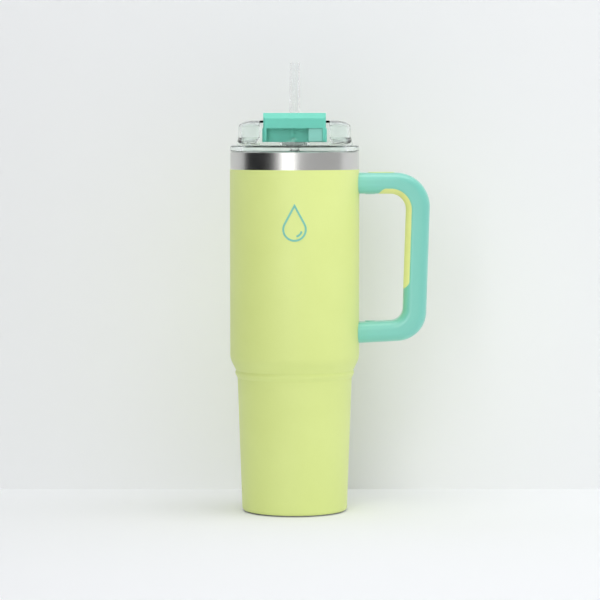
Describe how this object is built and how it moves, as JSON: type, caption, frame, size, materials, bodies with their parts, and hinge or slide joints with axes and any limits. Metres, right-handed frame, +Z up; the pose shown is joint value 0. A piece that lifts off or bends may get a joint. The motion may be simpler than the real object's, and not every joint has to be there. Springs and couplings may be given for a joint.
{
  "type": "insulated travel mug",
  "caption": "Tall double-walled steel travel mug with a tapered foot, a D handle, a clear press-in lid with a flip-open sip cover, and a straw.",
  "frame": {"origin": "centre of the standing ring under the foot, on the cup's axis and on the plane it stands on", "axes": "+Z up the cup's axis towards the lid and straw, +X towards the handle, -Y towards the emblem and the sip opening"},
  "size_m": [0.1446, 0.0942, 0.3264],
  "materials": {
    "steel": "stainless steel, brushed round the axis, bare at the rim band, inside and under the foot",
    "powder_coat": "fine matt powder coat, pale lime",
    "emblem_print": "satin printed ink, sea green",
    "handle_plastic": "moulded polypropylene, soft satin, sea green",
    "grip_rubber": "moulded thermoplastic rubber, matt, pale lime",
    "fastener_steel": "turned stainless steel",
    "getter_metal": "dark sintered metal and braze",
    "clear_lid": "clear copolyester, glossy, faintly green",
    "clear_straw": "clear extruded plastic tube",
    "silicone": "translucent white silicone",
    "cover_plastic": "moulded polypropylene, soft satin, sea green"
  },
  "bodies": {
    "cup": {"outer_shell": "steel", "powder_coat": "powder_coat", "liner_cup": "steel", "liner_wall": "steel", "liner_neck": "steel", "base_plate": "steel", "vacuum_seal": "getter_metal", "getter": "getter_metal", "emblem": "emblem_print", "upper_lug": "steel", "lower_lug": "steel", "handle": "handle_plastic", "grip_liner": "grip_rubber", "thumb_rest": "grip_rubber", "upper_handle_screw": "fastener_steel", "lower_handle_screw": "fastener_steel", "upper_screw_cap": "handle_plastic", "lower_screw_cap": "handle_plastic"},
    "lid": {"lid_base": "clear_lid", "splash_ring": "clear_lid", "lid_gasket": "silicone", "straw_grommet": "silicone", "hinge_pin": "fastener_steel"},
    "flip_cover": {"sip_cover": "cover_plastic", "sip_seal": "silicone"},
    "lock": {"slide_lock": "cover_plastic"},
    "drinking_straw": {"straw": "clear_straw"}
  },
  "joints": [
    {"name": "lid_lift", "type": "slide", "parent": "cup", "child": "lid", "axis": [0, 0, 1], "range_m": [0, 0.28]},
    {"name": "cover_flip", "type": "hinge", "parent": "lid", "child": "flip_cover", "pos_m": [0, -0.009, 0.2741], "axis": [-1, 0, 0], "range_deg": [0, 95]},
    {"name": "lock_slide", "type": "slide", "parent": "flip_cover", "child": "lock", "axis": [-1, 0, 0], "range_m": [0, 0.0106]},
    {"name": "straw_lift", "type": "slide", "parent": "lid", "child": "drinking_straw", "axis": [0, 0, 1], "range_m": [0, 0.28]}
  ]
}
